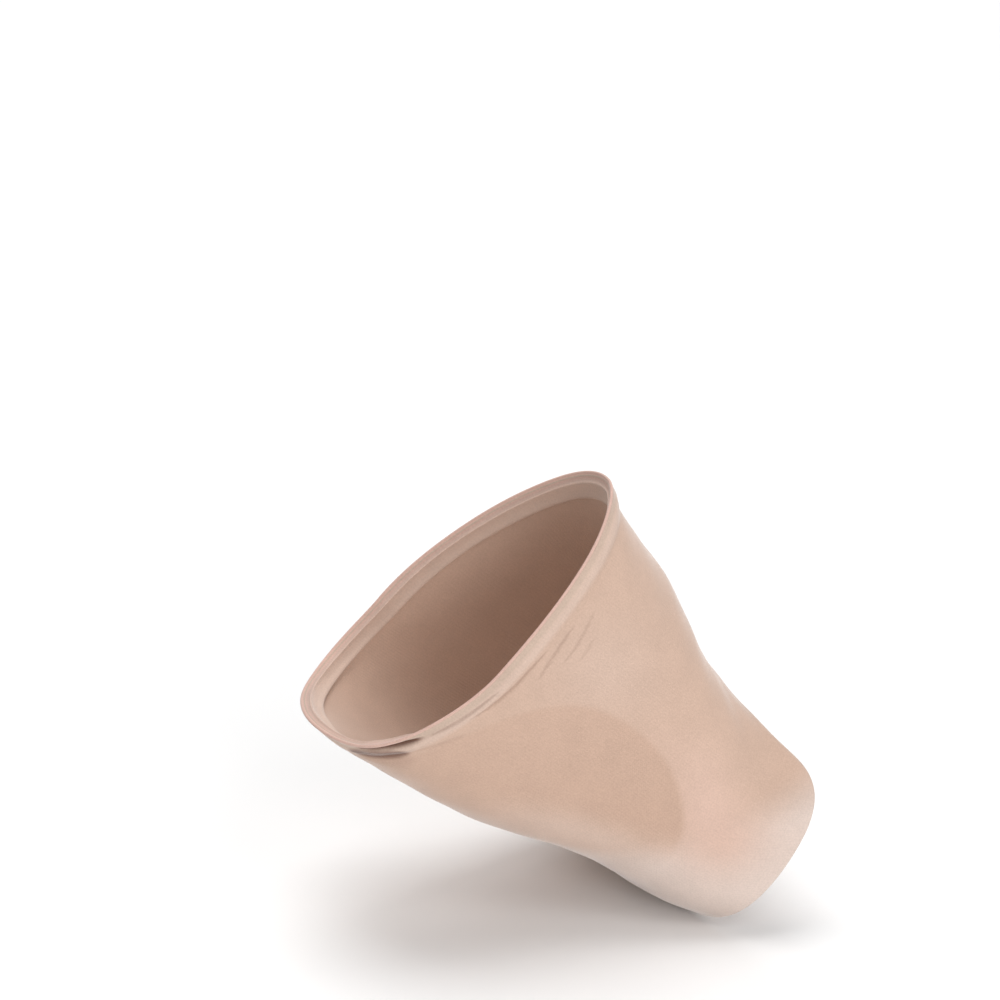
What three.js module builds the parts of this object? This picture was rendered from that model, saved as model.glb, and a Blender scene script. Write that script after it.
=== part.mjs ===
// Arch support sleeve for a left foot: a seamless knitted tube round the middle of the foot,
// with a turned hem at its heel edge, a plain cut toe edge and a gel pad inside, under the arch.
// Millimetres and degrees. +X points to the toes, +Y to the little toe side, +Z up.
// The tube keeps the form that it has on a foot whose heel is lifted.
// The origin is the middle of the hollow, where the arch of the foot sits.
import * as THREE from 'three';

// Lengths of the tube along the foot, from the heel edge to the toe edge
const SOLE_LENGTH = 104;
const MEDIAL_LENGTH = 86.7;
const INSTEP_LENGTH = 60.3;
const LATERAL_LENGTH = 87;

// How far the heel edge stands forward of its own sole end, measured along the sole
const MEDIAL_SETBACK = 25.8;
const INSTEP_SETBACK = 42;
const LATERAL_SETBACK = 19;

// Height over the sole and width of the tube at its two edges
const HEEL_EDGE_HEIGHT = 83;
const TOE_EDGE_HEIGHT = 43.5;
const HEEL_EDGE_WIDTH = 64;
const TOE_EDGE_WIDTH = 87;

// Slope of the sole while the heel is lifted
const HEEL_LIFT = 28.3;

// Knit, hem and pad
const KNIT_THICKNESS = 1.0;
const CLEARANCE = 0.3;
const HEM_DEPTH = 5.2;
const HEM_LAYER_THICKNESS = 0.8;
const HEM_RISE_HEIGHT = 0.6;
const HEM_FADE_LENGTH = 1.4;
const RIM_ROLL_RADIUS = 0.7;
const PAD_LENGTH = 59;
const PAD_HEIGHT = 70;
const PAD_THICKNESS = 5;
const PAD_EDGE_THICKNESS = 1.2;
const PAD_HEM_DISTANCE = 0.9;
const PAD_MEDIAL_DISTANCE = 28;
const PAD_BULGE_HEIGHT = 0.6;
const PAD_FADE_WIDTH = 7;
const PAD_OUTLINE_ROUND = 2.4;

// Largest crease in the worn knit, which the rows of CREASES share
const CREASE_WIDTH = 4;
const CREASE_DEPTH = 1.1;
const CREASE_REACH_LENGTH = 56;

// Slope of the edges where they cross the medial and lateral lines, as a share of the mean slope
// between the sole and the instep
const SIDE_SLOPE = 0.8;

// Steps for the normals: a share of the length and of a turn
const SHARE_STEP = 0.004;
const TURN_STEP = 0.002;

// How finely the faceted surfaces are divided
const COLUMNS_AROUND = 80;
const HEM_ROWS = 4;
const BODY_ROWS = 20;
const ROW_CROWDING = 0.3;
const QUARTER_STEPS = 60;
const BEAD_STEPS = 4;
const PAD_RINGS = 8;
const PAD_SPOKES = 40;

const KNIT_FINISH = { color: 0xd5b9a7, roughness: 0.9, metalness: 0 };
const HEM_FINISH = { color: 0xd9beae, roughness: 0.85, metalness: 0 };
const PAD_FINISH = { color: 0xd2a58a, roughness: 0.5, metalness: 0 };

// Sections across the foot, from the heel edge (along 0) to the toe edge (along 1).
// Heights are shares of the tube's height there, and sideways places of its width there.
// A round value of 2 is an ellipse, and a larger one is squarer.
const SECTION_COLUMNS = [
  'along', 'sole', 'keel', 'medialUp', 'medial', 'instep', 'crest', 'lateralUp', 'lateral',
  'roundMedialTop', 'roundLateralTop', 'roundLateralSole', 'roundMedialSole',
];
const SECTIONS = [
  [0.00, 0.052, -0.06, 0.453, 0.522, 1.010, -0.050, 0.36, 0.490, 1.8, 2.1, 2.6, 3.3],
  [0.20, 0.009, -0.06, 0.450, 0.481, 1.022, 0.000, 0.36, 0.475, 2.1, 2.1, 2.8, 3.1],
  [0.45, -0.024, -0.06, 0.460, 0.460, 1.052, 0.010, 0.36, 0.465, 2.1, 2.1, 3.0, 2.8],
  [0.70, 0.015, -0.06, 0.470, 0.482, 1.017, 0.000, 0.36, 0.480, 2.2, 2.1, 3.0, 3.0],
  [0.88, -0.047, -0.06, 0.540, 0.496, 1.039, -0.055, 0.40, 0.490, 2.4, 2.1, 3.0, 3.2],
  [1.00, -0.057, -0.06, 0.710, 0.497, 1.072, -0.185, 0.44, 0.500, 4.0, 2.2, 3.0, 3.2],
];

// Creases, each a straight groove in the knit between two places. Along is a share of the way
// from the heel edge, and around a share of CREASE_REACH_LENGTH above the medial line (below if
// negative). Width and depth are shares of the largest crease, and a ridge has a negative depth.
const CREASE_COLUMNS = ['along', 'around', 'toAlong', 'toAround', 'width', 'depth'];
const CREASES = [
  [0.006, -0.58, 0.014, -0.39, 0.8, 1.0],
  [0.030, -0.70, 0.040, -0.52, 0.8, 0.9],
  [0.064, -0.39, 0.076, -0.28, 0.8, 0.6],
  [0.042, -0.22, 0.062, 0.19, 1.0, 0.5],
  [0.102, 0.08, 0.078, 0.32, 0.8, 0.5],
  [0.126, 0.20, 0.104, 0.41, 0.8, 0.4],
];

// The four guide lines in turn order: medial, instep, lateral and sole
const GUIDE_LENGTHS = [MEDIAL_LENGTH, INSTEP_LENGTH, LATERAL_LENGTH, SOLE_LENGTH];
const MEAN_LENGTH = GUIDE_LENGTHS.reduce((sum, length) => sum + length, 0) / GUIDE_LENGTHS.length;

const named = (columns, row) => Object.fromEntries(columns.map((name, k) => [name, row[k]]));
const mix = (from, to, share) => from + (to - from) * share;
const smooth = (x) => {
  const s = Math.min(Math.max(x, 0), 1);
  return s * s * (3 - 2 * s);
};

// Sweep from a side guide line (x 0), with the slope of rise, to a flat end (x 1)
function sweep(x, side, end, rise) {
  return mix(side, end, 3 * x ** 2 - 2 * x ** 3) + rise * (x ** 3 - 2 * x ** 2 + x);
}

// One section's sizes at any place along the tube, on smooth curves through the table's rows
function sectionAt(along) {
  const last = SECTIONS.length - 1;
  let k = 0;
  while (k < last - 1 && SECTIONS[k + 1][0] <= along) k += 1;
  const slope = (row, column) => {
    const before = SECTIONS[Math.max(row - 1, 0)];
    const after = SECTIONS[Math.min(row + 1, last)];
    return (after[column] - before[column]) / (after[0] - before[0]);
  };
  const span = SECTIONS[k + 1][0] - SECTIONS[k][0];
  const s = (along - SECTIONS[k][0]) / span;
  const values = SECTION_COLUMNS.map((name, column) => (
    (2 * s ** 3 - 3 * s ** 2 + 1) * SECTIONS[k][column]
    + (s ** 3 - 2 * s ** 2 + s) * span * slope(k, column)
    + (3 * s ** 2 - 2 * s ** 3) * SECTIONS[k + 1][column]
    + (s ** 3 - s ** 2) * span * slope(k + 1, column)
  ));
  return named(SECTION_COLUMNS, values);
}

// Quarter of a section, between a guide line at the side and one at the top or bottom:
// steps round it, each with its distance from the side
function quarter(side, end, round) {
  const steps = [];
  let length = 0;
  for (let k = 0; k <= QUARTER_STEPS; k += 1) {
    const angle = (Math.PI / 2) * (k / QUARTER_STEPS);
    const y = mix(end.y, side.y, Math.cos(angle) ** (2 / round));
    const up = mix(side.up, end.up, Math.sin(angle) ** (2 / round));
    if (k > 0) length += Math.hypot(y - steps[k - 1].y, up - steps[k - 1].up);
    steps.push({ y, up, length });
  }
  return { side, end, steps, length };
}

// Point of a quarter at a share of its own length. The two quarters of one side leave its guide
// line with the same slope, which the pair gives.
function quarterPoint(own, pair, share) {
  const [upper, lower] = pair;
  const slope = SIDE_SLOPE * (upper.end.forward - lower.end.forward) / (upper.length + lower.length);
  const rise = (own === upper ? slope : -slope) * own.length;
  const wanted = share * own.length;
  let k = 1;
  while (k < QUARTER_STEPS && own.steps[k].length < wanted) k += 1;
  const [from, to] = [own.steps[k - 1], own.steps[k]];
  const part = (wanted - from.length) / (to.length - from.length);
  return new THREE.Vector3(
    sweep(share, own.side.forward, own.end.forward, rise),
    mix(from.y, to.y, part),
    mix(from.up, to.up, part),
  );
}

// The four quarters of the section at one place along the tube, in turn order, kept once worked out
const sectionStore = new Map();
function quartersAt(along) {
  if (!sectionStore.has(along)) {
    const row = sectionAt(along);
    const height = mix(HEEL_EDGE_HEIGHT, TOE_EDGE_HEIGHT, along);
    const width = mix(HEEL_EDGE_WIDTH, TOE_EDGE_WIDTH, along);
    const medial = {
      forward: MEDIAL_SETBACK + MEDIAL_LENGTH * along,
      y: -row.medial * width,
      up: row.medialUp * height,
    };
    const instep = {
      forward: INSTEP_SETBACK + INSTEP_LENGTH * along,
      y: row.crest * width,
      up: row.instep * height,
    };
    const lateral = {
      forward: LATERAL_SETBACK + LATERAL_LENGTH * along,
      y: row.lateral * width,
      up: row.lateralUp * height,
    };
    const sole = { forward: SOLE_LENGTH * along, y: row.keel * width, up: row.sole * height };
    sectionStore.set(along, [
      quarter(medial, instep, row.roundMedialTop),
      quarter(lateral, instep, row.roundLateralTop),
      quarter(lateral, sole, row.roundLateralSole),
      quarter(medial, sole, row.roundMedialSole),
    ]);
  }
  return sectionStore.get(along);
}

// Point of the smooth form. Turn runs from the medial line (0) over the instep (0.25) and the
// lateral side (0.5) to the sole (0.75) and back. Share runs from the heel edge to the toe edge,
// and near the heel edge it counts the same millimetres all the way round.
function formPoint(share, turn) {
  const place = (((turn % 1) + 1) % 1) * 4;
  const index = Math.floor(place);
  const part = place - index;
  const backward = index % 2 === 1;
  const fromSide = backward ? 1 - part : part;
  const sideLength = GUIDE_LENGTHS[backward ? (index + 1) % 4 : index];
  const endLength = GUIDE_LENGTHS[backward ? index : index + 1];
  const lag = SIDE_SLOPE * (INSTEP_LENGTH - SOLE_LENGTH) / 2;
  const stretch = MEAN_LENGTH / sweep(fromSide, sideLength, endLength, index <= 1 ? lag : -lag);
  const quarters = quartersAt(share * mix(stretch, 1, share));
  const onMedialSide = index === 0 || index === 3;
  const pair = onMedialSide ? [quarters[0], quarters[3]] : [quarters[1], quarters[2]];
  return quarterPoint(quarters[index], pair, fromSide);
}

// Outward normal of the smooth form
function formNormal(share, turn) {
  const lengthwise = formPoint(share + SHARE_STEP, turn).sub(formPoint(share - SHARE_STEP, turn));
  const round = formPoint(share, turn + TURN_STEP).sub(formPoint(share, turn - TURN_STEP));
  return lengthwise.cross(round).normalize();
}

// Girth at mid length, which turns millimetres round the tube into a share of a turn
function girthAt(share) {
  let girth = 0;
  for (let k = 0; k < COLUMNS_AROUND; k += 1) {
    const turn = k / COLUMNS_AROUND;
    girth += formPoint(share, turn).distanceTo(formPoint(share, turn + 1 / COLUMNS_AROUND));
  }
  return girth;
}
const MID_GIRTH = girthAt(0.5);
const HEM_SHARE = HEM_DEPTH / MEAN_LENGTH;
const HEM_FADE_SHARE = HEM_FADE_LENGTH / MEAN_LENGTH;

// Signed turn from the medial line, between -0.5 and 0.5
const signedTurn = (turn) => turn - Math.round(turn);

// Millimetre places on the unrolled tube, from the heel edge and above the medial line
const unrolled = (share, turn) => [share * MEAN_LENGTH, signedTurn(turn) * MID_GIRTH];

// How deep the creases press the knit in at a place
function creaseDepth(share, turn) {
  const [x, y] = unrolled(share, turn);
  return CREASES.reduce((sum, row) => {
    const crease = named(CREASE_COLUMNS, row);
    const from = [crease.along * MEAN_LENGTH, crease.around * CREASE_REACH_LENGTH];
    const to = [crease.toAlong * MEAN_LENGTH, crease.toAround * CREASE_REACH_LENGTH];
    const run = [to[0] - from[0], to[1] - from[1]];
    const square = run[0] ** 2 + run[1] ** 2;
    const part = ((x - from[0]) * run[0] + (y - from[1]) * run[1]) / square;
    const near = Math.min(Math.max(part, 0), 1);
    const away = Math.hypot(x - mix(from[0], to[0], near), y - mix(from[1], to[1], near));
    const fall = 1 - smooth(away / (crease.width * CREASE_WIDTH / 2));
    return sum + crease.depth * CREASE_DEPTH * fall;
  }, 0);
}

// Distance from the pad's middle as a share of its half size: 1 on its outline
const PAD_MIDDLE = HEM_DEPTH + PAD_HEM_DISTANCE + PAD_LENGTH / 2;
function padReach(share, turn) {
  const [x, y] = unrolled(share, turn);
  const across = Math.abs(x - PAD_MIDDLE) / (PAD_LENGTH / 2);
  const up = Math.abs(y + PAD_MEDIAL_DISTANCE) / (PAD_HEIGHT / 2);
  return (across ** PAD_OUTLINE_ROUND + up ** PAD_OUTLINE_ROUND) ** (1 / PAD_OUTLINE_ROUND);
}

// How far the knit stands out from the smooth form, over its hem and over the pad
function relief(share, turn) {
  const hem = HEM_RISE_HEIGHT * (1 - smooth((share - HEM_SHARE) / HEM_FADE_SHARE));
  const pastPad = (padReach(share, turn) - 1) * (PAD_LENGTH / 2);
  const pad = PAD_BULGE_HEIGHT * (1 - smooth(pastPad / PAD_FADE_WIDTH));
  return hem + pad - creaseDepth(share, turn);
}

// Place in the part's own frame at a depth under the knit's outer face
const MIDDLE_FORWARD = (SOLE_LENGTH + INSTEP_SETBACK) / 2;
const MIDDLE_UP = (HEEL_EDGE_HEIGHT + TOE_EDGE_HEIGHT) / 4;
const LIFT = THREE.MathUtils.degToRad(HEEL_LIFT);
function skinPoint(share, turn, depth) {
  const point = formPoint(share, turn);
  point.addScaledVector(formNormal(share, turn), relief(share, turn) - depth);
  const forward = point.x - MIDDLE_FORWARD;
  const up = point.z - MIDDLE_UP;
  return new THREE.Vector3(
    forward * Math.cos(LIFT) + up * Math.sin(LIFT),
    point.y,
    up * Math.cos(LIFT) - forward * Math.sin(LIFT),
  );
}

// Shares of the rows: even across the hem, then wider and wider to the toe edge
function bodyShares() {
  const shares = [];
  for (let row = 0; row < HEM_ROWS; row += 1) shares.push(HEM_SHARE * (row / HEM_ROWS));
  for (let row = 0; row <= BODY_ROWS; row += 1) {
    const part = row / BODY_ROWS;
    shares.push(mix(HEM_SHARE, 1, part * mix(ROW_CROWDING, 1, part)));
  }
  return shares;
}

// Closed ring of a profile, which is a loop of {share, depth} places carried round the tube
function ring(profile) {
  const positions = [];
  const index = [];
  const count = profile.length;
  for (let column = 0; column < COLUMNS_AROUND; column += 1) {
    const turn = column / COLUMNS_AROUND;
    profile.forEach(({ share, depth }) => {
      positions.push(...skinPoint(share, turn, depth).toArray());
    });
  }
  for (let column = 0; column < COLUMNS_AROUND; column += 1) {
    const next = (column + 1) % COLUMNS_AROUND;
    for (let k = 0; k < count; k += 1) {
      const a = column * count + k;
      const b = column * count + ((k + 1) % count);
      const c = next * count + ((k + 1) % count);
      const d = next * count + k;
      const rising = profile[(k + 1) % count].share > profile[k].share;
      index.push(...(rising ? [a, b, c, a, c, d] : [a, b, d, b, c, d]));
    }
  }
  return solid(positions, index);
}

function solid(positions, index) {
  const geometry = new THREE.BufferGeometry();
  geometry.setAttribute('position', new THREE.Float32BufferAttribute(positions, 3));
  geometry.setIndex(index);
  geometry.computeVertexNormals();
  return geometry;
}

// Knitted tube: the outer face from heel to toe, then the inner face back
function sleeveBody() {
  const shares = bodyShares();
  const outer = shares.map((share) => ({ share, depth: 0 }));
  const inner = shares.map((share) => ({ share, depth: KNIT_THICKNESS })).reverse();
  return ring([...outer, ...inner]);
}

// Hem: a rolled rim behind the tube's edge and a layer turned in under the knit
function rearHem() {
  const layerTop = KNIT_THICKNESS + CLEARANCE;
  const layerUnder = layerTop + HEM_LAYER_THICKNESS;
  const rimShare = -CLEARANCE / MEAN_LENGTH;
  const rollShare = RIM_ROLL_RADIUS / MEAN_LENGTH;
  const profile = [];
  for (let step = BEAD_STEPS; step >= 0; step -= 1) {
    const angle = Math.PI * (step / BEAD_STEPS);
    profile.push({
      share: rimShare - rollShare * Math.sin(angle),
      depth: layerUnder * (1 - Math.cos(angle)) / 2,
    });
  }
  profile.push({ share: rimShare, depth: layerTop });
  const layerShares = bodyShares().slice(0, HEM_ROWS + 1);
  layerShares.forEach((share) => profile.push({ share, depth: layerTop }));
  layerShares.slice(1).reverse().forEach((share) => profile.push({ share, depth: layerUnder }));
  return ring(profile);
}

// Gel pad: a crowned shell against the inside of the knit, thin at its outline
function archPad() {
  const face = KNIT_THICKNESS + CLEARANCE;
  const positions = [];
  const index = [];
  const place = (ringPart, spoke) => {
    const angle = 2 * Math.PI * (spoke / PAD_SPOKES);
    const cos = Math.cos(angle);
    const sin = Math.sin(angle);
    const reach = ringPart / (Math.abs(cos) ** PAD_OUTLINE_ROUND
      + Math.abs(sin) ** PAD_OUTLINE_ROUND) ** (1 / PAD_OUTLINE_ROUND);
    return {
      share: (PAD_MIDDLE + reach * cos * PAD_LENGTH / 2) / MEAN_LENGTH,
      turn: (reach * sin * PAD_HEIGHT / 2 - PAD_MEDIAL_DISTANCE) / MID_GIRTH,
    };
  };
  const add = (ringPart, spoke, depth) => {
    const { share, turn } = place(ringPart, spoke);
    positions.push(...skinPoint(share, turn, depth).toArray());
  };
  const crown = (ringPart) => mix(PAD_EDGE_THICKNESS, PAD_THICKNESS, 1 - ringPart ** 2);
  add(0, 0, face);
  for (let step = 1; step <= PAD_RINGS; step += 1) {
    for (let spoke = 0; spoke < PAD_SPOKES; spoke += 1) add(step / PAD_RINGS, spoke, face);
  }
  for (let step = PAD_RINGS; step >= 1; step -= 1) {
    const ringPart = step / PAD_RINGS;
    for (let spoke = 0; spoke < PAD_SPOKES; spoke += 1) add(ringPart, spoke, face + crown(ringPart));
  }
  add(0, 0, face + PAD_THICKNESS);
  const loops = 2 * PAD_RINGS;
  const at = (loop, spoke) => 1 + loop * PAD_SPOKES + (spoke % PAD_SPOKES);
  const lastPoint = 1 + loops * PAD_SPOKES;
  for (let spoke = 0; spoke < PAD_SPOKES; spoke += 1) {
    index.push(0, at(0, spoke), at(0, spoke + 1));
    for (let loop = 0; loop + 1 < loops; loop += 1) {
      index.push(at(loop, spoke), at(loop + 1, spoke), at(loop + 1, spoke + 1));
      index.push(at(loop, spoke), at(loop + 1, spoke + 1), at(loop, spoke + 1));
    }
    index.push(at(loops - 1, spoke), lastPoint, at(loops - 1, spoke + 1));
  }
  return solid(positions, index);
}

function piece(name, geometry, finish) {
  const mesh = new THREE.Mesh(geometry, new THREE.MeshStandardMaterial(finish));
  mesh.name = name;
  return mesh;
}

const sleeve = new THREE.Group();
sleeve.add(piece('sleeve_body', sleeveBody(), KNIT_FINISH));
sleeve.add(piece('rear_hem', rearHem(), HEM_FINISH));
sleeve.add(piece('arch_pad', archPad(), PAD_FINISH));

export default sleeve;
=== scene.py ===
"""Arch support sleeve in its worn form: knitted tube, turned heel hem and gel pad.

The loft repeats the sizes of the construction in millimetres. A place on the tube is a share of
the way from the heel edge to the toe edge, a turn round the tube that starts at the medial line,
and a depth under the outer face of the knit. A place on the unrolled tube is in millimetres: x
from the heel edge and y above the medial line, below 0 towards the sole.
"""
import math

import bpy
import numpy as np
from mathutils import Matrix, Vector


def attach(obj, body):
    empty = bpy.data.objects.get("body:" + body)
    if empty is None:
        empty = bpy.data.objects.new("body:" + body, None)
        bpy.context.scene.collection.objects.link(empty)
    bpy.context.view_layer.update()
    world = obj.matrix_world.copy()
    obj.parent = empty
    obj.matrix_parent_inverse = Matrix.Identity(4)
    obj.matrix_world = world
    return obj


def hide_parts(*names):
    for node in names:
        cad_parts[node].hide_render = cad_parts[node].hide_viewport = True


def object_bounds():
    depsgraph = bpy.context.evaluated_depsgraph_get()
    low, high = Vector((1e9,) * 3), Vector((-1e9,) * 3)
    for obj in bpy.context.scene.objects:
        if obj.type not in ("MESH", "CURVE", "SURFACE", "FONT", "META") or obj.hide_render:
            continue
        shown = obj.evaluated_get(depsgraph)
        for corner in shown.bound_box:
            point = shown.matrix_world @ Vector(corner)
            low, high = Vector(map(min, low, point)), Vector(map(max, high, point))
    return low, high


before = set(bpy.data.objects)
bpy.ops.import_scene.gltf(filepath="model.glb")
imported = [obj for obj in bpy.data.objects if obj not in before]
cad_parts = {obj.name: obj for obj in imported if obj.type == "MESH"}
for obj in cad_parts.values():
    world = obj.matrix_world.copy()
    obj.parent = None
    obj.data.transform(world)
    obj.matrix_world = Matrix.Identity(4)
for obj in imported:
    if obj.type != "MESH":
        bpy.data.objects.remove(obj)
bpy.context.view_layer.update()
MM = 0.001

# Sizes of the sleeve in millimetres and degrees
SOLE_LENGTH = 104
MEDIAL_LENGTH = 86.7
INSTEP_LENGTH = 60.3
LATERAL_LENGTH = 87
MEDIAL_SETBACK = 25.8
INSTEP_SETBACK = 42
LATERAL_SETBACK = 19
HEEL_EDGE_HEIGHT = 83
TOE_EDGE_HEIGHT = 43.5
HEEL_EDGE_WIDTH = 64
TOE_EDGE_WIDTH = 87
HEEL_LIFT = 28.3
KNIT = 1.0
CLEARANCE = 0.3
HEM_DEPTH = 5.2
HEM_LAYER = 0.8
PAD_LENGTH = 59
PAD_HEIGHT = 70
PAD_THICKNESS = 5
PAD_EDGE = 1.2
PAD_HEM_DISTANCE = 0.9
PAD_MEDIAL_DISTANCE = 28
PAD_BULGE = 0.6
PAD_FADE = 7
PAD_ROUND = 2.4
SIDE_SLOPE = 0.8
MID_GIRTH = 229.5

# Sections across the tube, one in each row, after how far along the tube it is. Sole, instep and
# the ups are heights, as shares of the tube's own. Medial, lateral, keel (of the sole) and crest
# (of the instep) are places across, as shares of its width. Rounds are powers: 2 is an ellipse.
SECTION_COLUMNS = (
    "along sole keel medial_up medial instep crest lateral_up lateral "
    "round_medial_top round_lateral_top round_lateral_sole round_medial_sole"
).split()
SECTIONS = np.array([
    (0.00, 0.052, -0.06, 0.453, 0.522, 1.010, -0.050, 0.36, 0.490, 1.8, 2.1, 2.6, 3.3),
    (0.20, 0.009, -0.06, 0.450, 0.481, 1.022, 0.000, 0.36, 0.475, 2.1, 2.1, 2.8, 3.1),
    (0.45, -0.024, -0.06, 0.460, 0.460, 1.052, 0.010, 0.36, 0.465, 2.1, 2.1, 3.0, 2.8),
    (0.70, 0.015, -0.06, 0.470, 0.482, 1.017, 0.000, 0.36, 0.480, 2.2, 2.1, 3.0, 3.0),
    (0.88, -0.047, -0.06, 0.540, 0.496, 1.039, -0.055, 0.40, 0.490, 2.4, 2.1, 3.0, 3.2),
    (1.00, -0.057, -0.06, 0.710, 0.497, 1.072, -0.185, 0.44, 0.500, 4.0, 2.2, 3.0, 3.2),
])
QUARTERS = 4

# Relief of the hem in the knit: a step over the turned layer, and a ridge where it is sewn down
HEM_RISE = 0.28
HEM_REACH = 3.5
HEM_FADE = 1.9
RIDGE_RISE = 0.35
RIDGE_PLACE = 2.75
RIDGE_HALF_WIDTH = 1.2

# Slack of the hem over the instep: millimetres high, its middle above the medial line, its half
# width round the tube, and how far it runs from the heel edge
SLACK_RISE = 1.2
SLACK_PLACE = 60
SLACK_HALF_WIDTH = 14
SLACK_REACH = 4.5

# Rolled cord at the heel edge, the fold of the layer under it, and where that layer's outer face
# starts. Angles are as in arc, and the last one rounds an edge from one face to the other.
CORD_RADIUS = 0.36
CORD_PLACE = -0.18
CORD_SINK = 0.26
CORD_ANGLES = (105, 335)
FOLD_RADIUS = 0.4
FOLD_PLACE = 1.4
FOLD_ANGLES = (90, 210)
LAYER_START = 1.0
HALF_TURN_FORWARD = (-90, 90)

# Creases of the worn knit: width and depth in millimetres, darkness of the painted shade in them
# from 0 to 1, and the places that each runs along on the unrolled tube. The first two gape at the
# sole. The third has no depth and is only painted shade at the sole corner; the last has no shade.
CREASES = [
    (0.72, 1.10, 0.95, [(0.5, -39.0), (0.75, -31.0), (1.05, -27.0), (1.65, -20.5)]),
    (2.10, 0.60, 0.88, [(3.2, -43.0), (3.5, -36.0), (3.8, -31.5), (3.7, -25.5)]),
    (4.50, 0.00, 0.12, [(5.5, -47.0), (5.5, -38.0), (5.5, -26.0)]),
    (0.42, 0.26, 0.32, [(1.6, -23.0), (2.2, -15.0), (2.4, -8.0), (2.6, -1.0)]),
    (0.60, 0.18, 0.12, [(4.3, -27.0), (5.4, -21.5), (6.5, -14.5)]),
    (0.42, 0.26, 0.28, [(3.2, -15.0), (4.2, -8.0), (4.9, 0.5), (5.2, 13.0)]),
    (0.42, 0.18, 0.21, [(8.9, 2.5), (7.8, 7.5), (7.0, 13.0), (6.4, 20.0)]),
    (0.42, 0.14, 0.16, [(10.8, 8.5), (10.5, 14.5), (9.7, 19.0), (8.5, 25.0)]),
    (0.42, 0.12, 0.12, [(13.8, 11.5), (13.2, 16.5), (12.8, 19.5)]),
    (0.80, 0.12, 0.0, [(5.8, 12.0), (5.3, 24.0), (5.0, 38.0)]),
]

# Form of a crease: the share of its length that it fades over, its width there as a share, the
# shoulder beside it as a share of its depth and in widths from its middle, how much sooner its
# painted shade is full than its depth, and how far from the heel edge it has faded in
CREASE_TAPER = 0.35
CREASE_END_WIDTH = 0.4
CREASE_SHOULDER = 0.18
CREASE_SHOULDER_PLACE = 2.2
CREASE_DARK_GAIN = 2
EDGE_KEEP = 0.6

# Soft waves in the worn knit: millimetres high, millimetres between crests along and round the
# tube, and where each starts, in radians
WAVES = [(0.10, 31.0, 47.0, 0.4), (0.07, 17.0, -29.0, 2.1), (0.05, 11.0, 23.0, 4.0)]

# Where the pad shows through the knit: how far the patch lies above the pad and towards the heel
# edge, its edge as a reach from the pad's middle, and the share that shows at its heel end
PATCH_SHIFT = 0.9
PATCH_EDGE = (0.95, 1.01)
PATCH_HEEL_SHARE = 0.7

# Low part of the patch, under a slanted line: the share that shows there, where it starts along
# the tube, a place on the line, its slope, and how far above the line the change ends
LOW_PATCH_SHARE = 0.08
LOW_PATCH_ALONG = (12, 32)
LOW_PATCH_PLACE = (40, -27)
LOW_PATCH_SLOPE = 0.45
LOW_PATCH_FADE = 13

# Painted shade at the sole corner of the heel edge, round the creases that gape there
CORNER_SHARE = 0.9
CORNER_PLACE = (5, -37)
CORNER_REACH = (5, 9)

# Where the knit is pale: at its widest under a slanted line, where it is stretched and painted
# light from the floor below adds to it, under the pad, where it is only painted light on the low
# side, and a little above the pad, where it is greyer. Spans run from no change to the full one.
WIDE_ALONG = (35, 65)
WIDE_LINE_PLACE = 62
WIDE_LINE_SLOPE = 1.3
WIDE_FADE = 22
UNDER_PAD_SHARE = 0.36
UNDER_PAD_ALONG = (25, 45)
UNDER_PAD_UP = (-8, -20)
PALE_SOLE_UP = (-78, -30)
ABOVE_PAD_SHARE = 0.16
ABOVE_PAD_PLACE = (20, 14)
ABOVE_PAD_REACH = (14, 12)

# Where the knit is warmest: the places of a line, the half width of its glow, and the share of it
# at the line's heel end
BLUSH_LINE = [(51, 7), (68, -4)]
BLUSH_HALF_WIDTH = 10
BLUSH_START_SHARE = 0.35
BLUSH_ALONG = (48, 62)

# Where painted shade darkens the knit towards the toe edge: along the tube, and from the medial
# line to the instep
TOE_ALONG = (52, 78)
TOE_UP_START = (2, 18)
TOE_UP_END = (100, 70)

GUIDE_LENGTHS = np.array([MEDIAL_LENGTH, INSTEP_LENGTH, LATERAL_LENGTH, SOLE_LENGTH], float)
MEAN_LENGTH = GUIDE_LENGTHS.mean()
PAD_MIDDLE = HEM_DEPTH + PAD_HEM_DISTANCE + PAD_LENGTH / 2

# How finely things are worked out and divided
QUARTER_STEPS = 90
CHUNK = 20000
SHARE_STEP = 0.004
TURN_STEP = 0.002
BODY_COLUMNS = 600
OUTER_ROWS = 128
OUTER_CROWDING = 0.45
INNER_ROWS = 28
INNER_CROWDING = 0.35
EDGE_ROWS = 6
HEM_COLUMNS = 900
HEM_ROWS = 12
FOLD_ROWS = 7
CORD_ROWS = 15
HEM_END_ROWS = 5
PAD_RINGS = 36
PAD_SPOKES = 160

UV_NAME = "knit"


def mix(a, b, share):
    return a + (b - a) * share


def smooth(x):
    s = np.clip(x, 0, 1)
    return s * s * (3 - 2 * s)


def ramp(value, span):
    """0 at the first end of a span, 1 at its other end, smoothly between them."""
    start, end = span
    return smooth((value - start) / (end - start))


def bell(x):
    """1 at 0, less on both sides."""
    return np.exp(-(x**2))


def plateau(x):
    """Like a bell, but flatter at the top and steeper at the sides."""
    return np.exp(-(x**4))


def spot(x, y, middle, reach):
    """1 at a middle place on the unrolled tube, less all round it."""
    along = (x - middle[0]) / reach[0]
    up = (y - middle[1]) / reach[1]
    return np.exp(-(along**2) - up**2)


def sweep(x, side, end, rise):
    """From a side guide line (x 0), with the slope of rise, to a flat end (x 1)."""
    return mix(side, end, 3 * x**2 - 2 * x**3) + rise * (x**3 - 2 * x**2 + x)


# The smooth form


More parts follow.
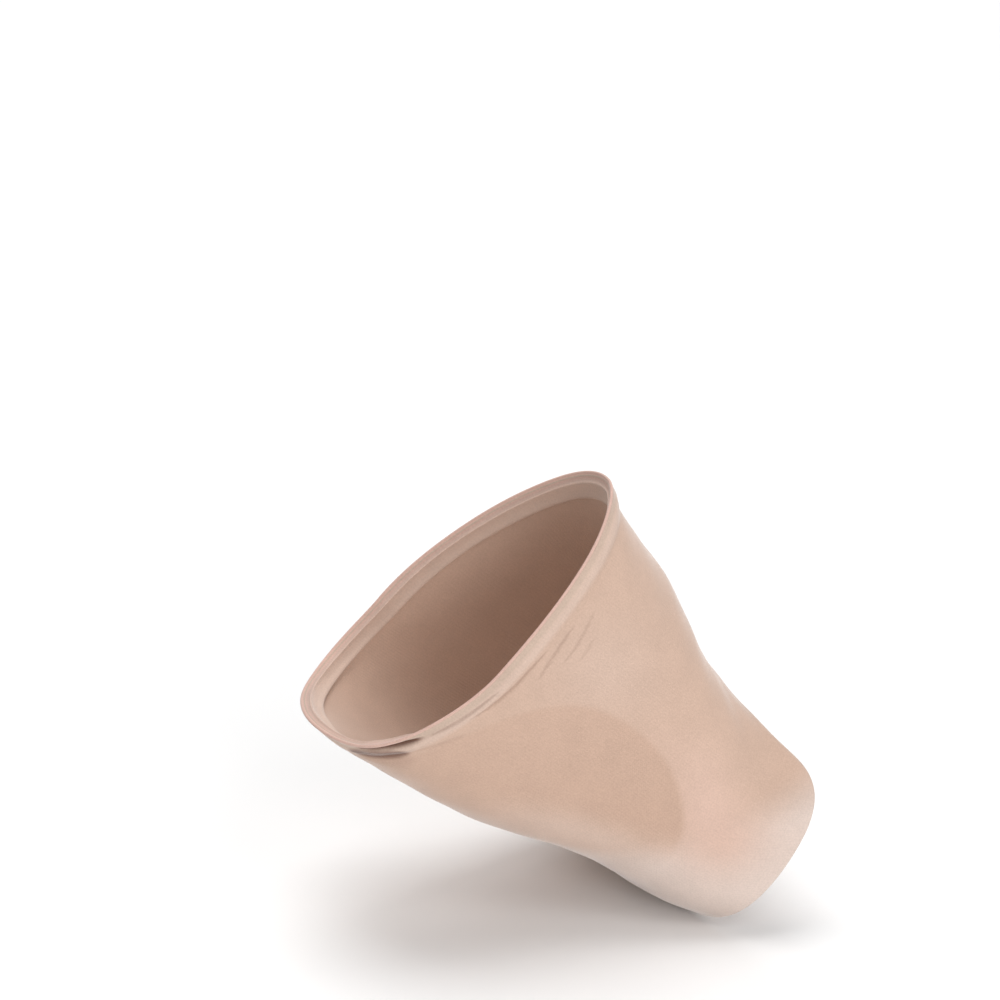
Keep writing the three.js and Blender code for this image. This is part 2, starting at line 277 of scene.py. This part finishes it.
def section_at(along):
    """Every column of the section table at places along the tube, on smooth curves."""
    places = SECTIONS[:, 0]
    last = len(places) - 1
    before = np.maximum(np.arange(last + 1) - 1, 0)
    after = np.minimum(np.arange(last + 1) + 1, last)
    slopes = (SECTIONS[after] - SECTIONS[before]) / (places[after] - places[before])[:, None]
    k = np.clip(np.searchsorted(places, along, side="right") - 1, 0, last - 1)
    span = (places[k + 1] - places[k])[:, None]
    s = (along[:, None] - places[k][:, None]) / span
    values = (
        (2 * s**3 - 3 * s**2 + 1) * SECTIONS[k]
        + (s**3 - 2 * s**2 + s) * span * slopes[k]
        + (3 * s**2 - 2 * s**3) * SECTIONS[k + 1]
        + (s**3 - s**2) * span * slopes[k + 1]
    )
    return dict(zip(SECTION_COLUMNS, values.T))


def quarter_arc(side, end, rounds):
    """Points (sideways, up) of quarters of sections, and how far round each one is."""
    angle = np.linspace(0, math.pi / 2, QUARTER_STEPS + 1)[None, :]
    power = (2 / rounds)[:, None]
    y = mix(end[0][:, None], side[0][:, None], np.abs(np.cos(angle)) ** power)
    up = mix(side[1][:, None], end[1][:, None], np.sin(angle) ** power)
    hop = np.hypot(np.diff(y), np.diff(up))
    length = np.concatenate([np.zeros((len(rounds), 1)), np.cumsum(hop, axis=1)], axis=1)
    return y, up, length


def form_chunk(share, turn):
    """Points of the smooth form, in the tube's own axes: forward, sideways, up.

    The quarters go round from the medial line: medial top, lateral top, lateral sole, medial sole.
    """
    place = (turn % 1) * QUARTERS
    index = np.floor(place).astype(int) % QUARTERS
    part = place - np.floor(place)
    from_side = np.where(index % 2 == 1, 1 - part, part)
    medial = (index == 0) | (index == QUARTERS - 1)
    top = index < QUARTERS / 2
    upward = np.where(top, 1, -1)
    side_length = np.where(medial, MEDIAL_LENGTH, LATERAL_LENGTH)
    end_length = np.where(top, INSTEP_LENGTH, SOLE_LENGTH)
    lag = SIDE_SLOPE * (INSTEP_LENGTH - SOLE_LENGTH) / 2
    stretch = MEAN_LENGTH / sweep(from_side, side_length, end_length, upward * lag)
    along = share * mix(stretch, 1, share)
    row = section_at(along)
    height = mix(HEEL_EDGE_HEIGHT, TOE_EDGE_HEIGHT, along)
    width = mix(HEEL_EDGE_WIDTH, TOE_EDGE_WIDTH, along)
    side = (
        np.where(medial, -row["medial"], row["lateral"]) * width,
        np.where(medial, row["medial_up"], row["lateral_up"]) * height,
    )
    instep = (row["crest"] * width, row["instep"] * height)
    sole = (row["keel"] * width, row["sole"] * height)
    round_top = np.where(medial, row["round_medial_top"], row["round_lateral_top"])
    round_sole = np.where(medial, row["round_medial_sole"], row["round_lateral_sole"])
    upper = quarter_arc(side, instep, round_top)
    lower = quarter_arc(side, sole, round_sole)
    y, up, length = (np.where(top[:, None], a, b) for a, b in zip(upper, lower))
    wanted = from_side * length[:, -1]
    k = np.clip((length < wanted[:, None]).sum(1), 1, QUARTER_STEPS)
    rows = np.arange(len(share))
    piece = (wanted - length[rows, k - 1]) / (length[rows, k] - length[rows, k - 1])
    instep_forward = INSTEP_SETBACK + INSTEP_LENGTH * along
    sole_forward = SOLE_LENGTH * along
    side_forward = np.where(medial, MEDIAL_SETBACK, LATERAL_SETBACK) + side_length * along
    end_forward = np.where(top, instep_forward, sole_forward)
    slope = SIDE_SLOPE * (instep_forward - sole_forward) / (upper[2][:, -1] + lower[2][:, -1])
    return np.stack([
        sweep(from_side, side_forward, end_forward, upward * slope * length[:, -1]),
        mix(y[rows, k - 1], y[rows, k], piece),
        mix(up[rows, k - 1], up[rows, k], piece),
    ], axis=1)


def form_points(share, turn):
    parts = [
        form_chunk(share[k:k + CHUNK], turn[k:k + CHUNK]) for k in range(0, len(share), CHUNK)
    ]
    return np.concatenate(parts)


def form_normals(share, turn):
    lengthwise = form_points(share + SHARE_STEP, turn) - form_points(share - SHARE_STEP, turn)
    around = form_points(share, turn + TURN_STEP) - form_points(share, turn - TURN_STEP)
    normal = np.cross(lengthwise, around)
    return normal / np.linalg.norm(normal, axis=1, keepdims=True)


# The relief of the worn knit over it


def unrolled(share, turn):
    """Places on the unrolled tube, x and y."""
    return share * MEAN_LENGTH, (turn - np.round(turn)) * MID_GIRTH


def pad_reach(share, turn):
    """1 on the pad's outline, less inside it."""
    x, y = unrolled(share, turn)
    across = np.abs(x - PAD_MIDDLE) / (PAD_LENGTH / 2)
    up = np.abs(y + PAD_MEDIAL_DISTANCE) / (PAD_HEIGHT / 2)
    return (across**PAD_ROUND + up**PAD_ROUND) ** (1 / PAD_ROUND)


def line_field(line, x, y):
    """Distance from a line of places, and 1 along it that fades to 0 at its ends."""
    line = np.array(line, float)
    lengths = np.linalg.norm(np.diff(line, axis=0), axis=1)
    nearest = np.full(len(x), np.inf)
    travelled = np.zeros(len(x))
    start = 0
    for a, b, length in zip(line[:-1], line[1:], lengths):
        run = b - a
        part = np.clip(((x - a[0]) * run[0] + (y - a[1]) * run[1]) / length**2, 0, 1)
        away = np.hypot(x - a[0] - part * run[0], y - a[1] - part * run[1])
        closer = away < nearest
        nearest = np.where(closer, away, nearest)
        travelled = np.where(closer, (start + part * length) / lengths.sum(), travelled)
        start += length
    return nearest, smooth(travelled / CREASE_TAPER) * smooth((1 - travelled) / CREASE_TAPER)


def creases_at(share, turn):
    """How far the creases move the knit, and how dark the painted shade in them is, from 0 to 1."""
    x, y = unrolled(share, turn)
    moved = np.zeros(len(x))
    dark = np.zeros(len(x))
    for width, deepest, darkness, line in CREASES:
        away, ends = line_field(line, x, y)
        reach = away / (width * mix(CREASE_END_WIDTH, 1, ends))
        shoulder = CREASE_SHOULDER * bell(reach - CREASE_SHOULDER_PLACE)
        moved += deepest * ends * (shoulder - bell(reach))
        # Painted shade along the crease
        dark = np.maximum(dark, darkness * smooth(CREASE_DARK_GAIN * ends) * plateau(reach))
    keep = smooth(x / EDGE_KEEP)
    return moved * keep, dark * keep


def relief(share, turn):
    """How far the knit stands out from the smooth form."""
    x, y = unrolled(share, turn)
    hem = HEM_RISE * (1 - smooth((x - HEM_REACH) / HEM_FADE))
    ridge = RIDGE_RISE * plateau((x - RIDGE_PLACE) / RIDGE_HALF_WIDTH)
    round_instep = bell((y - SLACK_PLACE) / SLACK_HALF_WIDTH)
    slack = SLACK_RISE * round_instep * (1 - smooth(x / SLACK_REACH))
    pad = PAD_BULGE * (1 - smooth((pad_reach(share, turn) - 1) * (PAD_LENGTH / 2) / PAD_FADE))
    waves = sum(
        high * np.sin(2 * math.pi * (x / along + y / around) + phase)
        for high, along, around, phase in WAVES
    )
    return hem + ridge + slack + pad + waves + creases_at(share, turn)[0]


def to_row_frame(points):
    """From the tube's own axes to the object's frame, in metres."""
    middle_forward = (SOLE_LENGTH + INSTEP_SETBACK) / 2
    mean_height = (HEEL_EDGE_HEIGHT + TOE_EDGE_HEIGHT) / 2
    lift = math.radians(HEEL_LIFT)
    forward = points[:, 0] - middle_forward
    up = points[:, 2] - mean_height / 2
    return MM * np.stack([
        forward * math.cos(lift) + up * math.sin(lift),
        points[:, 1],
        up * math.cos(lift) - forward * math.sin(lift),
    ], axis=1)


def skin(share, turn, depth):
    """Points at a depth in millimetres under the knit's outer face."""
    lifted = relief(share, turn) - depth
    return to_row_frame(form_points(share, turn) + form_normals(share, turn) * lifted[:, None])


# Where the knit changes colour, from 0 to 1


def pad_patch_and_painted_corner_shade(share, turn):
    """How much of the pad shows through the knit, most towards its upper toe end, and painted shade
    at the sole corner.
    """
    x, y = unrolled(share, turn)
    reach = pad_reach(share + PATCH_SHIFT / MEAN_LENGTH, turn - PATCH_SHIFT / MID_GIRTH)
    inside = 1 - ramp(reach, PATCH_EDGE)
    above_line = y - LOW_PATCH_PLACE[1] - LOW_PATCH_SLOPE * (x - LOW_PATCH_PLACE[0])
    low = ramp(x, LOW_PATCH_ALONG) * (1 - smooth(above_line / LOW_PATCH_FADE))
    forward = smooth(x / PAD_LENGTH)
    patch = inside * mix(1, LOW_PATCH_SHARE, low) * mix(PATCH_HEEL_SHARE, 1, forward)
    # Painted shade at the sole corner, in the pad's colour
    corner = CORNER_SHARE * spot(x, y, CORNER_PLACE, CORNER_REACH)
    return np.maximum(patch, corner)


def pale_knit_and_painted_light(share, turn):
    """How pale the knit is: stretched at its widest, painted light from below there and under the
    pad.
    """
    x, y = unrolled(share, turn)
    # At its widest the knit is paler where stretched, and painted light from the floor below adds
    # to it
    below_line = WIDE_LINE_SLOPE * (x - WIDE_LINE_PLACE) - y
    wide = ramp(x, WIDE_ALONG) * smooth(below_line / WIDE_FADE)
    # Painted light on the low side under the pad
    under_pad = UNDER_PAD_SHARE * ramp(x, UNDER_PAD_ALONG) * ramp(y, UNDER_PAD_UP)
    above_pad = ABOVE_PAD_SHARE * spot(x, y, ABOVE_PAD_PLACE, ABOVE_PAD_REACH)
    return np.maximum(wide, under_pad) * ramp(y, PALE_SOLE_UP) + above_pad


def blush_shade(share, turn):
    """The warmest, brightest place, along the toe end of the pad."""
    x, y = unrolled(share, turn)
    away = line_field(BLUSH_LINE, x, y)[0]
    return bell(away / BLUSH_HALF_WIDTH) * mix(BLUSH_START_SHARE, 1, ramp(x, BLUSH_ALONG))


def painted_toe_shade(share, turn):
    """How far a place is towards the toe edge, on the medial and instep sides, for painted shade
    there.
    """
    x, y = unrolled(share, turn)
    return ramp(x, TOE_ALONG) * ramp(y, TOE_UP_START) * ramp(y, TOE_UP_END)


# Meshes


def make_object(name, points, faces, uvs, shades):
    """A smooth mesh object, with a UV for every corner and named values for every point."""
    mesh = bpy.data.meshes.new(name)
    mesh.from_pydata(points.tolist(), [], faces)
    mesh.polygons.foreach_set("use_smooth", [True] * len(mesh.polygons))
    layer = mesh.uv_layers.new(name=UV_NAME)
    layer.data.foreach_set("uv", np.asarray(uvs, float).ravel())
    for label, values in shades.items():
        attribute = mesh.attributes.new(label, "FLOAT", "POINT")
        attribute.data.foreach_set("value", np.asarray(values, float).ravel())
    mesh.update()
    obj = bpy.data.objects.new(name, mesh)
    bpy.context.scene.collection.objects.link(obj)
    return obj


def ring_object(name, profile, columns):
    """A loop of (millimetres from the heel edge, depth) places carried round the tube."""
    rows = len(profile)
    places, depths = np.array(profile).T
    turns = np.arange(columns) / columns
    share = np.repeat(places / MEAN_LENGTH, columns)
    depth = np.repeat(depths, columns)
    turn = np.tile(turns, rows)
    points = skin(share, turn, depth)
    row = np.arange(rows)[:, None]
    column = np.arange(columns)[None, :]
    next_row = (row + 1) % rows
    next_column = (column + 1) % columns
    corners = [(row, column), (row, next_column), (next_row, next_column), (next_row, column)]
    faces = np.stack([a * columns + b for a, b in corners], axis=-1).reshape(-1, 4)
    steps = [(row, column), (row, column + 1), (next_row, column + 1), (next_row, column)]
    uvs = np.stack([
        np.stack(np.broadcast_arrays(b * MID_GIRTH / columns, places[a]), axis=-1) for a, b in steps
    ], axis=2)
    # The painted shade of the creases goes on the outer face only
    outside = depth < KNIT / 2
    shades = {
        "pad_patch_and_painted_corner_shade": pad_patch_and_painted_corner_shade(share, turn),
        "pale_knit_and_painted_light": pale_knit_and_painted_light(share, turn),
        "blush_shade": blush_shade(share, turn),
        "painted_toe_shade": painted_toe_shade(share, turn),
        "painted_crease_shade": creases_at(share, turn)[1] * outside,
    }
    return make_object(name, points, faces.tolist(), uvs, shades)


def crowded(end, count, crowding):
    """Places from 0 to end, close together near 0."""
    s = np.linspace(0, 1, count)
    return end * s * mix(crowding, 1, s)


def arc(centre, radius, angles, count):
    """Places on an arc: 0 degrees points to the toe edge, 90 into the tube, 180 back again."""
    start, end = angles
    return [
        (centre[0] + radius * math.cos(angle), centre[1] + radius * math.sin(angle))
        for angle in np.radians(np.linspace(start, end, count))
    ]


def sleeve_body():
    """The tube: its outer face, the round toe edge, and its inner face back to the start."""
    half = KNIT / 2
    outer = [(x, 0) for x in crowded(MEAN_LENGTH, OUTER_ROWS, OUTER_CROWDING)]
    inner = [(x, KNIT) for x in crowded(MEAN_LENGTH, INNER_ROWS, INNER_CROWDING)][::-1]
    toe_edge = arc((MEAN_LENGTH, half), half, HALF_TURN_FORWARD, EDGE_ROWS + 1)[1:-1]
    return ring_object("knit_tube", outer + toe_edge + inner, BODY_COLUMNS)


def heel_hem():
    """A small rolled cord behind the knit's edge, and the layer turned in under it."""
    top = KNIT + CLEARANCE
    under = top + HEM_LAYER
    half = HEM_LAYER / 2
    end_place = HEM_DEPTH - half
    fold = arc((FOLD_PLACE, under - FOLD_RADIUS), FOLD_RADIUS, FOLD_ANGLES, FOLD_ROWS)
    cord = arc((CORD_PLACE, CORD_SINK), CORD_RADIUS, CORD_ANGLES, CORD_ROWS)
    end = arc((end_place, (top + under) / 2), half, HALF_TURN_FORWARD, HEM_END_ROWS)
    upper = [(x, top) for x in np.linspace(LAYER_START, end_place, HEM_ROWS)[:-1]]
    lower = [(x, under) for x in np.linspace(end_place, FOLD_PLACE, HEM_ROWS)[1:-1]]
    return ring_object("turned_hem", fold + cord + upper + end + lower, HEM_COLUMNS)


def pad_faces(ring_count, last):
    """Faces from the first point, over rings of points, to the last point."""
    faces = []
    last_ring = 1 + (ring_count - 1) * PAD_SPOKES
    for spoke in range(PAD_SPOKES):
        beside = (spoke + 1) % PAD_SPOKES
        faces.append((0, 1 + spoke, 1 + beside))
        for ring in range(ring_count - 1):
            a = 1 + ring * PAD_SPOKES
            b = a + PAD_SPOKES
            faces.append((a + spoke, b + spoke, b + beside, a + beside))
        faces.append((last_ring + spoke, last, last_ring + beside))
    return faces


def gel_pad():
    """A crowned shell against the inside of the knit, thin and round at its outline."""
    face = KNIT + CLEARANCE
    angle = 2 * math.pi * np.arange(PAD_SPOKES) / PAD_SPOKES
    cos, sin = np.cos(angle), np.sin(angle)
    reach = (np.abs(cos) ** PAD_ROUND + np.abs(sin) ** PAD_ROUND) ** (-1 / PAD_ROUND)
    parts = np.arange(1, PAD_RINGS + 1) / PAD_RINGS
    outer = [(part, 0) for part in parts]
    inner = [(part, mix(PAD_EDGE, PAD_THICKNESS, 1 - part**2)) for part in parts[::-1]]
    rings = outer + inner
    places = [(PAD_MIDDLE, -PAD_MEDIAL_DISTANCE, face)]
    for part, thick in rings:
        x = PAD_MIDDLE + part * reach * cos * PAD_LENGTH / 2
        y = part * reach * sin * PAD_HEIGHT / 2 - PAD_MEDIAL_DISTANCE
        places += list(zip(x, y, np.full(PAD_SPOKES, face + thick)))
    places.append((PAD_MIDDLE, -PAD_MEDIAL_DISTANCE, face + PAD_THICKNESS))
    x, y, depth = np.array(places).T
    points = skin(x / MEAN_LENGTH, y / MID_GIRTH, depth)
    faces = pad_faces(len(rings), len(points) - 1)
    uvs = [(x[k], y[k]) for corners in faces for k in corners]
    return make_object("gel_pad", points, faces, uvs, {})


# Materials

# Colours of the knit, its places, the hem and the gel, and the share of its colour that the knit
# keeps at the toe edge under painted shade
KNIT_COLOUR = (0.556, 0.393, 0.308)
# The pad's colour where it shows through the knit, also used for painted shade at the sole corner
PAD_AND_CORNER_COLOUR = (0.526, 0.360, 0.276)
# Paler knit where stretched, and painted light from the floor below on the low side
PALE_AND_LIT_COLOUR = (0.650, 0.536, 0.476)
BLUSH_COLOUR = (0.630, 0.443, 0.362)
BAND_COLOUR = (0.530, 0.400, 0.322)
RIDGE_COLOUR = (0.590, 0.440, 0.362)
CORD_COLOUR = (0.610, 0.410, 0.345)
# Painted shade in the creases
CREASE_SHADE_COLOUR = (0.130, 0.058, 0.038)
GEL_COLOUR = (0.640, 0.400, 0.270)
TOE_LIGHT = 0.94

# Where the colours of the hem begin and end, in millimetres from the heel edge
BAND_END = (1.4, 2.4)
RIDGE_START = (1.1, 2.2)
RIDGE_END = (3.0, 4.6)
CORD_END = (0.3, 1.5)

# Levels of a rise in a material
RISING = (0.0, 1.0)
FALLING = (1.0, 0.0)

# Stitches of the knit: their pitches in millimetres, and the share of a column of stitches and of
# its loops in their height
WALE_PITCH = 0.76
COURSE_PITCH = 0.62
HALF_WALE = 0.5
COLUMN_SHARE = 0.7
LOOP_SHARE = 0.25

# Noise: spots of so many millimetres, with so much detail, and the span of it that is used
FUZZ_NOISE = (0.42, 2)
FUZZ_SPAN = (0.25, 0.75)
CLOUD_NOISE = (7.0, 3)
GEL_CLOUD_NOISE = (5.0, 3)
CLOUD_SPAN = (0.3, 0.7)
GEL_NOISE = (0.8, 2)

# How much noise and stitches change a colour, as factors
FUZZ_LEVELS = (0.95, 1.05)
CLOUD_LEVELS = (0.98, 1.02)
GEL_CLOUD_LEVELS = (0.96, 1.04)
THREAD_BASE = 0.98
THREAD_RISE = 0.035

# Surface of the yarn and the gel: bumps are a depth in millimetres and a strength
BUMP_KNIT_SHARE = 0.5
BUMP_FUZZ_SHARE = 0.8
FABRIC_BUMP = (0.10, 0.6)
GEL_BUMP = (0.05, 0.4)
FABRIC_SURFACE = {
    "Roughness": 0.9,
    "Specular IOR Level": 0.2,
    "Sheen Weight": 0.5,
    "Sheen Roughness": 0.35,
}
GEL_SURFACE = {
    "Roughness": 0.42,
    "Subsurface Weight": 0.25,
    "Subsurface Radius": (0.004, 0.002, 0.001),
    "Subsurface Scale": 1.0,
}

# Sockets of Blender's mix node when it mixes colours
MIX_SHARE = 0
MIX_A = 6
MIX_B = 7
MIX_RESULT = 2


class Nodes:
    """Short names for the shader nodes that a material adds to its own tree."""

    def __init__(self, name):
        self.material = bpy.data.materials.new(name)
        self.material.use_nodes = True
        self.tree = self.material.node_tree
        self.shader = self.tree.nodes["Principled BSDF"]

    def set(self, socket, value):
        """A number or a tuple is set on the socket, and an output is linked to it."""
        if isinstance(value, (int, float, tuple)):
            socket.default_value = value
        else:
            self.tree.links.new(value, socket)

    def surface(self, values):
        for label, value in values.items():
            self.set(self.shader.inputs[label], value)

    def math(self, operation, *values):
        node = self.tree.nodes.new("ShaderNodeMath")
        node.operation = operation
        for socket, value in zip(node.inputs, values):
            self.set(socket, value)
        return node.outputs["Value"]

    def plus(self, a, b):
        return self.math("ADD", a, b)

    def minus(self, a, b):
        return self.math("SUBTRACT", a, b)

    def times(self, a, b):
        return self.math("MULTIPLY", a, b)

    def over(self, a, b):
        return self.math("DIVIDE", a, b)

    def uv(self):
        node = self.tree.nodes.new("ShaderNodeUVMap")
        node.uv_map = UV_NAME
        split = self.tree.nodes.new("ShaderNodeSeparateXYZ")
        self.set(split.inputs[0], node.outputs["UV"])
        return split.outputs["X"], split.outputs["Y"]

    def value(self, name):
        node = self.tree.nodes.new("ShaderNodeAttribute")
        node.attribute_name = name
        return node.outputs["Fac"]

    def noise(self, size, detail):
        """Noise whose spots are about so many millimetres, around 0.5."""
        place = self.tree.nodes.new("ShaderNodeTexCoord")
        node = self.tree.nodes.new("ShaderNodeTexNoise")
        self.set(node.inputs["Vector"], place.outputs["Object"])
        self.set(node.inputs["Scale"], 1 / (size * MM))
        self.set(node.inputs["Detail"], detail)
        return node.outputs["Fac"]

    def rise(self, value, span, levels=RISING):
        """From the first level at the start of a span to the other at its end, smoothly."""
        node = self.tree.nodes.new("ShaderNodeMapRange")
        node.interpolation_type = "SMOOTHSTEP"
        labels = ("Value", "From Min", "From Max", "To Min", "To Max")
        for label, setting in zip(labels, (value, *span, *levels)):
            self.set(node.inputs[label], setting)
        return node.outputs["Result"]

    def blend(self, share, a, b):
        """From colour a at share 0 to colour b at share 1."""
        node = self.tree.nodes.new("ShaderNodeMix")
        node.data_type = "RGBA"
        for index, value in ((MIX_SHARE, share), (MIX_A, a), (MIX_B, b)):
            self.set(node.inputs[index], (*value, 1) if isinstance(value, tuple) else value)
        return node.outputs[MIX_RESULT]

    def scaled(self, colour, factor):
        """A colour times a number."""
        node = self.tree.nodes.new("ShaderNodeVectorMath")
        node.operation = "SCALE"
        self.set(node.inputs[0], colour)
        self.set(node.inputs["Scale"], factor)
        return node.outputs[0]

    def bump(self, height, depth, strength):
        node = self.tree.nodes.new("ShaderNodeBump")
        self.set(node.inputs["Height"], height)
        self.set(node.inputs["Distance"], depth * MM)
        self.set(node.inputs["Strength"], strength)
        self.set(self.shader.inputs["Normal"], node.outputs["Normal"])


def stitches(nodes, u, v):
    """Height of a plain knit, 0 to 1: columns of small V shapes.

    A column is highest along its middle, and its loops lag behind towards both of its sides.
    """
    place = nodes.math("FRACT", nodes.over(u, WALE_PITCH))
    aside = nodes.math("ABSOLUTE", nodes.minus(place, HALF_WALE))
    column = nodes.minus(1.0, nodes.times(nodes.math("POWER", aside, 2.0), 1 / HALF_WALE**2))
    phase = nodes.plus(nodes.over(v, COURSE_PITCH), aside)
    loop = nodes.math("COSINE", nodes.times(phase, 2 * math.pi))
    return nodes.plus(nodes.times(column, COLUMN_SHARE), nodes.times(loop, LOOP_SHARE))


def soft_fabric(nodes, colour):
    """Matt, faintly fuzzy yarn with fine random grain in its colour and surface."""
    u, v = nodes.uv()
    knit = stitches(nodes, u, v)
    fuzz = nodes.noise(*FUZZ_NOISE)
    cloud = nodes.rise(nodes.noise(*CLOUD_NOISE), CLOUD_SPAN, CLOUD_LEVELS)
    thread = nodes.plus(nodes.times(knit, THREAD_RISE), THREAD_BASE)
    mottle = nodes.rise(fuzz, FUZZ_SPAN, FUZZ_LEVELS)
    factor = nodes.times(nodes.times(mottle, cloud), thread)
    nodes.set(nodes.shader.inputs["Base Color"], nodes.scaled(colour, factor))
    nodes.surface(FABRIC_SURFACE)
    height = nodes.plus(nodes.times(knit, BUMP_KNIT_SHARE), nodes.times(fuzz, BUMP_FUZZ_SHARE))
    nodes.bump(height, *FABRIC_BUMP)
    return nodes.material


def knit_material():
    """The knit: pale where stretched, warm over the blush, darker over the pad and in creases.

    Painted light makes it paler low down, and painted shade darkens it in the creases, at the sole
    corner and towards the toe edge.
    """
    nodes = Nodes("fine_knit")
    v = nodes.uv()[1]
    band = nodes.rise(v, BAND_END, FALLING)
    ridge = nodes.times(nodes.rise(v, RIDGE_START), nodes.rise(v, RIDGE_END, FALLING))
    colour = KNIT_COLOUR
    # Blended in turn: pale knit with painted light, the blush, the pad with painted corner shade,
    # the hem's band and ridge, and painted crease shade
    for share, other in (
        (nodes.value("pale_knit_and_painted_light"), PALE_AND_LIT_COLOUR),
        (nodes.value("blush_shade"), BLUSH_COLOUR),
        (nodes.value("pad_patch_and_painted_corner_shade"), PAD_AND_CORNER_COLOUR),
        (band, BAND_COLOUR),
        (ridge, RIDGE_COLOUR),
        (nodes.value("painted_crease_shade"), CREASE_SHADE_COLOUR),
    ):
        colour = nodes.blend(share, colour, other)
    # Painted shade towards the toe edge
    toe_light = nodes.rise(nodes.value("painted_toe_shade"), RISING, (1.0, TOE_LIGHT))
    return soft_fabric(nodes, nodes.scaled(colour, toe_light))


def hem_material():
    """The hem: warmer on the cord than on the turned layer."""
    nodes = Nodes("hem_knit")
    v = nodes.uv()[1]
    return soft_fabric(nodes, nodes.blend(nodes.rise(v, CORD_END), CORD_COLOUR, RIDGE_COLOUR))


def gel_material():
    """Soft gel, faintly cloudy, that lets a little light in."""
    nodes = Nodes("soft_gel")
    cloud = nodes.rise(nodes.noise(*GEL_CLOUD_NOISE), CLOUD_SPAN, GEL_CLOUD_LEVELS)
    nodes.set(nodes.shader.inputs["Base Color"], nodes.scaled(GEL_COLOUR, cloud))
    nodes.surface(GEL_SURFACE)
    nodes.bump(nodes.noise(*GEL_NOISE), *GEL_BUMP)
    return nodes.material


PIECES = [
    (sleeve_body(), knit_material(), "sleeve_body", "knit"),
    (heel_hem(), hem_material(), "rear_hem", "hem"),
    (gel_pad(), gel_material(), "arch_pad", "gel"),
]
for piece, material, node, slot in PIECES:
    piece.data.materials.append(material)
    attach(piece, "root")
    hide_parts(node)

# Floor under the lowest place of the sleeve
FLOOR_HALF_SIZE = 3.0
FLOOR_GAP = 0.0002
FLOOR_SURFACE = {
    "Base Color": (0.93, 0.93, 0.93, 1),
    "Roughness": 0.9,
    "Specular IOR Level": 0.1,
}


def stage_floor():
    half = FLOOR_HALF_SIZE
    corners = [(-half, -half, 0), (half, -half, 0), (half, half, 0), (-half, half, 0)]
    mesh = bpy.data.meshes.new("floor")
    mesh.from_pydata(corners, [], [(0, 1, 2, 3)])
    floor = bpy.data.objects.new("floor", mesh)
    floor.location.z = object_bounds()[0].z - FLOOR_GAP
    bpy.context.scene.collection.objects.link(floor)
    nodes = Nodes("floor")
    nodes.surface(FLOOR_SURFACE)
    floor.data.materials.append(nodes.material)


stage_floor()

# Camera: turned from the medial side towards the heel edge, and above the floor
VIEW_YAW = 18
VIEW_ELEVATION = 20
VIEW_DISTANCE = 1.0
VIEW_LENS = 151.2
VIEW_TARGET = Vector((-0.0277, 0, 0.0583))


def aimed(obj, place, target):
    """Puts an object at a place, turned to a target, into the scene."""
    obj.location = place
    obj.rotation_mode = "QUATERNION"
    obj.rotation_quaternion = (Vector(target) - Vector(place)).to_track_quat("-Z", "Y")
    bpy.context.scene.collection.objects.link(obj)


def place_camera():
    yaw, elevation = math.radians(VIEW_YAW), math.radians(VIEW_ELEVATION)
    back = Vector((
        -math.sin(yaw) * math.cos(elevation),
        -math.cos(yaw) * math.cos(elevation),
        math.sin(elevation),
    ))
    data = bpy.data.cameras.new("camera")
    data.lens = VIEW_LENS
    camera = bpy.data.objects.new("camera", data)
    aimed(camera, VIEW_TARGET + back * VIEW_DISTANCE, VIEW_TARGET)
    bpy.context.scene.camera = camera


place_camera()

# Light: an even white room, with soft panels in front, above the front, overhead and behind
ROOM_COLOUR = (1, 1, 1, 1)
ROOM_STRENGTH = 0.36
LIGHTS = [
    {"name": "front", "place": (0.12, -1.2, 0.3), "to": (0, 0, 0), "size": 0.5, "watts": 6.2},
    {"name": "key", "place": (0.3, -1.0, 0.95), "to": (0, 0, 0), "size": 0.6, "watts": 3.3},
    {"name": "top", "place": (-0.1, 0.2, 1.6), "to": (0, 0, 0), "size": 1.0, "watts": 13.9},
    {"name": "back", "place": (0.3, 1.3, 1.1), "to": (0.2, 0.9, 0), "size": 1.2, "watts": 8.5},
]


def light_room():
    scene = bpy.context.scene
    scene.view_settings.view_transform = "Standard"
    world = bpy.data.worlds.new("room")
    world.use_nodes = True
    background = world.node_tree.nodes["Background"]
    background.inputs["Color"].default_value = ROOM_COLOUR
    background.inputs["Strength"].default_value = ROOM_STRENGTH
    scene.world = world
    for row in LIGHTS:
        data = bpy.data.lights.new(row["name"], "AREA")
        data.size = row["size"]
        data.energy = row["watts"]
        aimed(bpy.data.objects.new(row["name"], data), row["place"], row["to"])


light_room()
